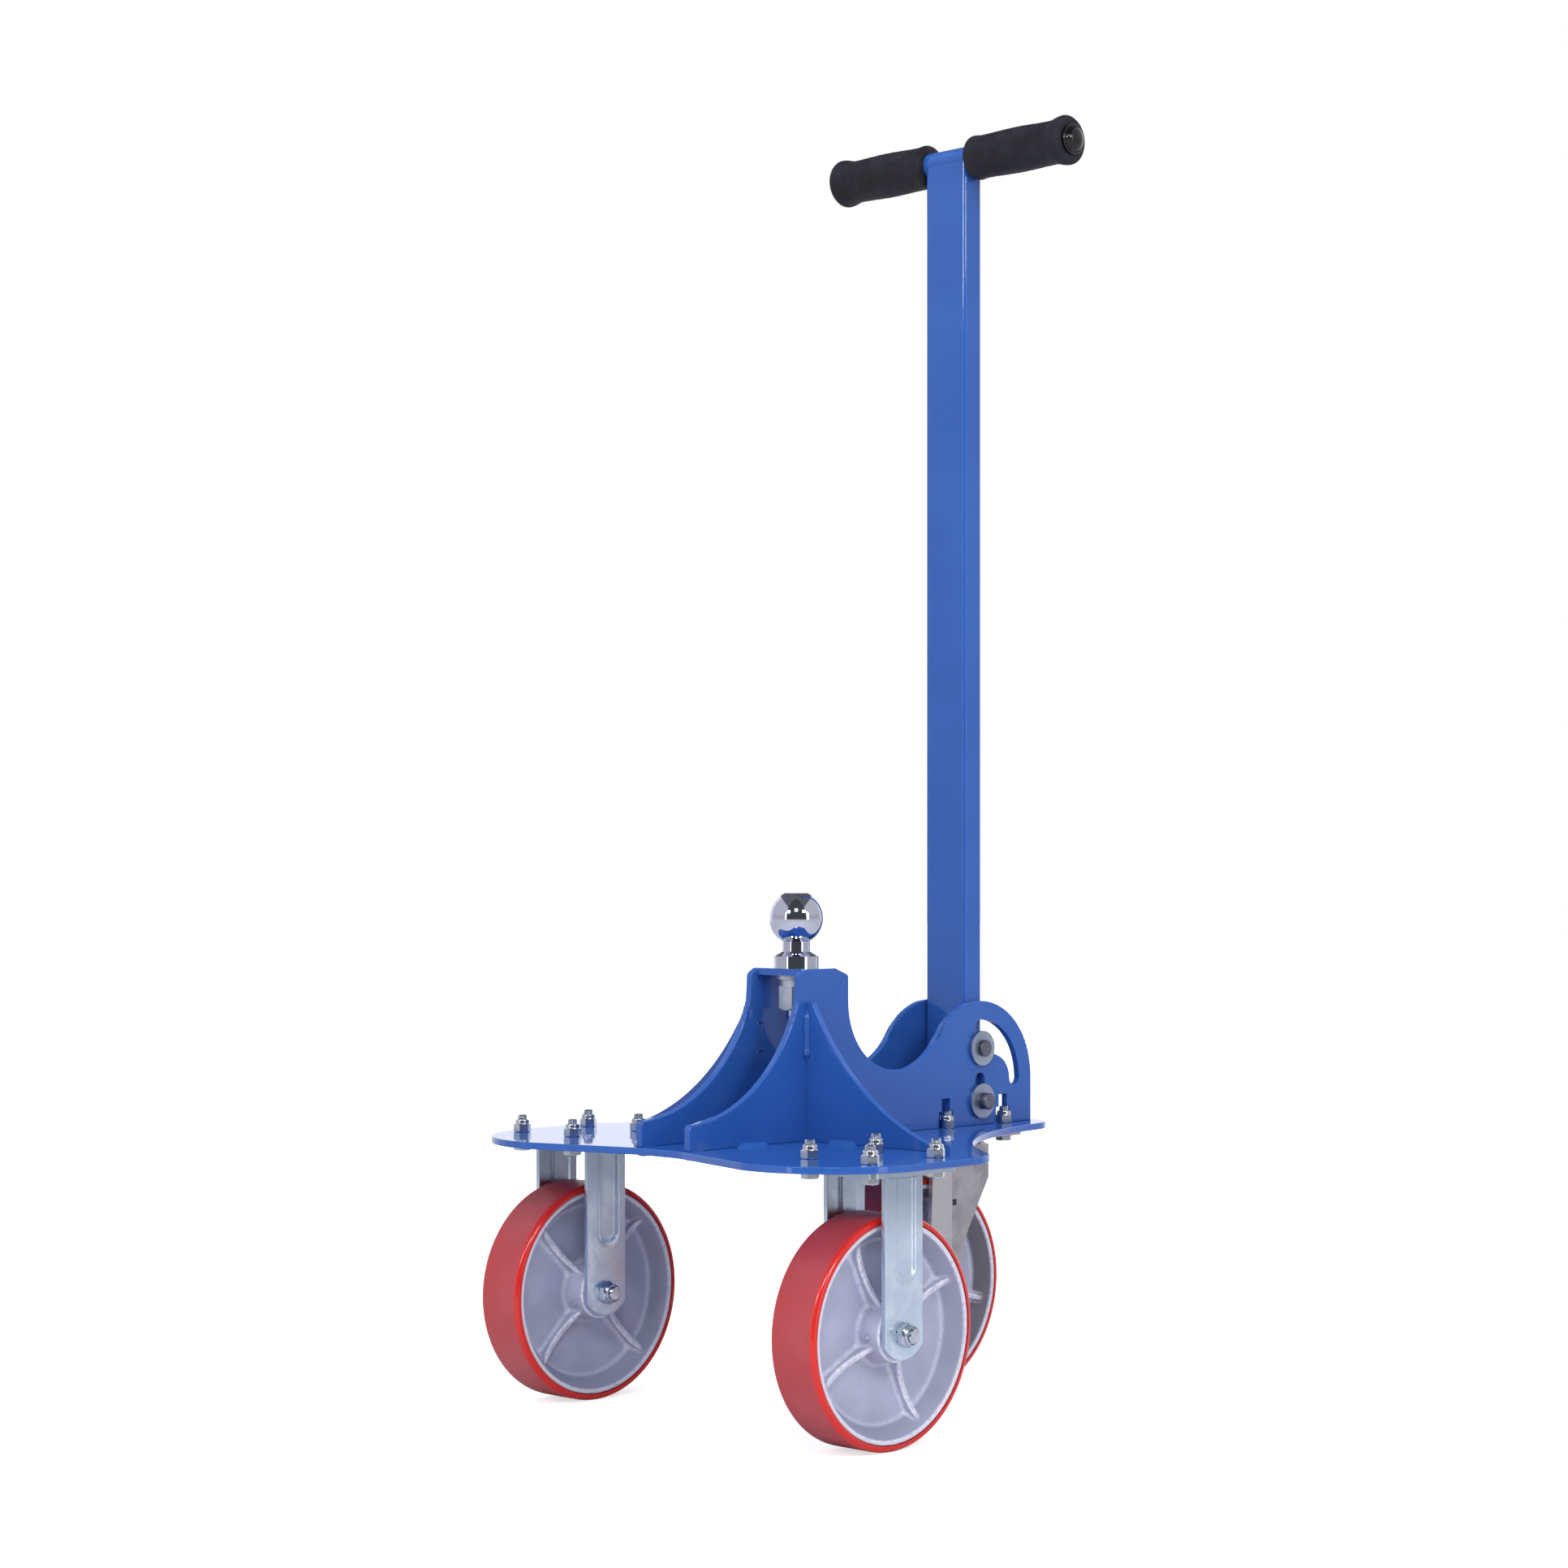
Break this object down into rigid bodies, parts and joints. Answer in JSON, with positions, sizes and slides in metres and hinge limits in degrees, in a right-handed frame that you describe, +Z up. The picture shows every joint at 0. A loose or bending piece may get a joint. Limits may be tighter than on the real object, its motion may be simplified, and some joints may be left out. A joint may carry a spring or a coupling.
{
  "type": "hitch mover",
  "caption": "Hand-pushed trailer hitch mover: deck plate on rigid and swivel casters, upright side plates carrying a hitch ball, and a tall T handle that lifts and folds back.",
  "frame": {"origin": "on the floor, under the middle of the box round the whole part", "axes": "+Z up; the ball end points to -Y and the handle end to +Y; +X is the operator's left"},
  "size_m": [0.499, 0.5206, 1.2063],
  "materials": {
    "blue_paint": "glossy blue powder coat",
    "chrome": "polished chrome plate",
    "zinc": "bright zinc plate",
    "grey_steel": "dull plated steel",
    "cast_core": "grey paint on sand-cast iron",
    "red_tread": "satin moulded polyurethane",
    "foam": "fine closed-cell foam",
    "black_plastic": "glossy black plastic"
  },
  "bodies": {
    "chassis": {"deck_plate": "blue_paint", "side_plate_left": "blue_paint", "side_plate_right": "blue_paint", "gusset_left": "blue_paint", "gusset_right": "blue_paint", "ball_plate": "blue_paint", "hitch_ball": "chrome", "ball_flat_washer": "zinc", "ball_lock_washer": "zinc", "ball_nut": "zinc", "deck_bolts": "zinc", "deck_nuts": "zinc", "front_left_caster_plate": "zinc", "front_left_fork_legs": "zinc", "front_left_axle_bolt": "zinc", "front_left_axle_nut": "zinc", "front_left_axle_sleeve": "grey_steel", "front_left_thrust_washers": "zinc", "front_right_caster_plate": "zinc", "front_right_fork_legs": "zinc", "front_right_axle_bolt": "zinc", "front_right_axle_nut": "zinc", "front_right_axle_sleeve": "grey_steel", "front_right_thrust_washers": "zinc", "rear_caster_plate": "grey_steel", "rear_kingpin": "grey_steel", "rear_kingpin_nut": "grey_steel"},
    "front_left_wheel": {"front_left_wheel_core": "cast_core", "front_left_wheel_tread": "red_tread", "front_left_wheel_bearing": "grey_steel", "front_left_grease_fitting": "zinc"},
    "front_right_wheel": {"front_right_wheel_core": "cast_core", "front_right_wheel_tread": "red_tread", "front_right_wheel_bearing": "grey_steel", "front_right_grease_fitting": "zinc"},
    "rear_swivel": {"rear_swivel_fork": "grey_steel", "rear_swivel_balls": "grey_steel", "rear_axle_bolt": "zinc", "rear_axle_nut": "zinc", "rear_axle_sleeve": "grey_steel", "rear_thrust_washers": "zinc"},
    "rear_wheel": {"rear_wheel_core": "cast_core", "rear_wheel_tread": "red_tread", "rear_wheel_bearing": "grey_steel", "rear_grease_fitting": "zinc"},
    "handle_pivot": {"lower_pin": "grey_steel", "lower_pin_washers": "zinc", "lower_pin_cotter": "grey_steel"},
    "handle": {"handle_tube": "blue_paint", "cross_bar": "blue_paint", "grip_left": "foam", "grip_right": "foam", "grip_cap_left": "black_plastic", "grip_cap_right": "black_plastic", "upper_pin": "grey_steel", "upper_pin_washers": "zinc", "upper_pin_cotter": "grey_steel"}
  },
  "joints": [
    {"name": "front_left_wheel_spin", "type": "hinge", "parent": "chassis", "child": "front_left_wheel", "pos_m": [0.18725, -0.14965, 0.1016], "axis": [1, 0, 0], "continuous": true},
    {"name": "front_right_wheel_spin", "type": "hinge", "parent": "chassis", "child": "front_right_wheel", "pos_m": [-0.18725, -0.14965, 0.1016], "axis": [1, 0, 0], "continuous": true},
    {"name": "rear_swivel", "type": "hinge", "parent": "chassis", "child": "rear_swivel", "pos_m": [0, 0.16085, 0.22], "axis": [0, 0, 1], "continuous": true},
    {"name": "rear_wheel_spin", "type": "hinge", "parent": "rear_swivel", "child": "rear_wheel", "pos_m": [0, 0.10535, 0.1016], "axis": [1, 0, 0], "continuous": true},
    {"name": "handle_lift", "type": "slide", "parent": "chassis", "child": "handle_pivot", "axis": [0, 0, 1], "range_m": [0, 0.0203]},
    {"name": "handle_fold", "type": "hinge", "parent": "handle_pivot", "child": "handle", "pos_m": [0, 0.16885, 0.273], "axis": [-1, 0, 0], "range_deg": [0, 90]}
  ],
  "couplings": [
    {"joint": "handle_lift", "follows": "handle_fold", "m_per_rad": 0.012923}
  ]
}
